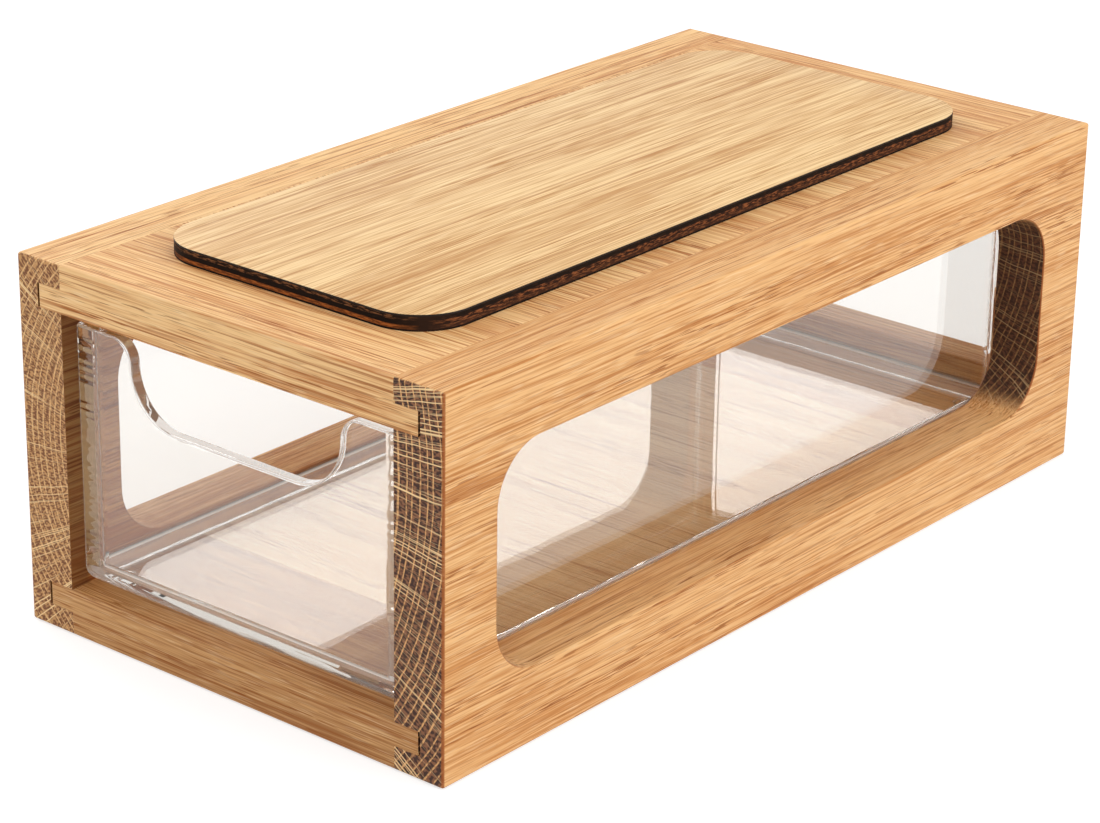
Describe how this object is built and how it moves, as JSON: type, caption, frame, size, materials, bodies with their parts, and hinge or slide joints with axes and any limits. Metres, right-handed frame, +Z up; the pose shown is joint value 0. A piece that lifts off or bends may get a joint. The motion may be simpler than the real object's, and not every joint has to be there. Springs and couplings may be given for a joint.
{
  "type": "tea bag drawer box",
  "caption": "Oak box open at the front, with windows in both sides, a clear drawer with a finger notch, and a rounded plywood lid lying on top.",
  "frame": {"origin": "centre of the underside", "axes": "+X to the right seen from the front, +Y from the front to the back, +Z up"},
  "size_m": [0.166, 0.32, 0.123],
  "materials": {
    "side_oak": "clear oiled oak, grain front to back",
    "board_oak": "clear oiled oak, grain side to side",
    "rail_oak": "clear oiled oak",
    "lid_oak_veneer": "clear oiled oak veneer",
    "lid_ply_dark": "crossband with a laser cut edge",
    "lid_ply_core": "core ply with a laser cut edge",
    "locating_plate_ply": "plain plywood",
    "clear_plastic": "clear moulded polystyrene"
  },
  "bodies": {
    "case": {"back_rail": "rail_oak", "bottom_stave_1": "board_oak", "bottom_stave_2": "board_oak", "bottom_stave_3": "board_oak", "bottom_stave_4": "board_oak", "bottom_stave_5": "board_oak", "bottom_stave_6": "board_oak", "left_side_panel": "side_oak", "right_side_panel": "side_oak", "top_stave_1": "board_oak", "top_stave_2_left": "board_oak", "top_stave_2_right": "board_oak", "top_stave_3_left": "board_oak", "top_stave_3_right": "board_oak", "top_stave_4_left": "board_oak", "top_stave_4_right": "board_oak", "top_stave_5_left": "board_oak", "top_stave_5_right": "board_oak", "top_stave_6": "board_oak"},
    "drawer": {"drawer_bin": "clear_plastic"},
    "lid": {"lid_back_veneer": "lid_oak_veneer", "lid_lower_crossband": "lid_ply_dark", "lid_core_ply": "lid_ply_core", "lid_upper_crossband": "lid_ply_dark", "lid_face_veneer": "lid_oak_veneer", "lid_locating_plate": "locating_plate_ply"}
  },
  "joints": [
    {"name": "drawer_slide", "type": "slide", "parent": "case", "child": "drawer", "axis": [0, -1, 0], "range_m": [0, 0.26]},
    {"name": "lid_lift", "type": "slide", "parent": "case", "child": "lid", "axis": [0, 0, 1], "range_m": [0, 0.06]}
  ]
}
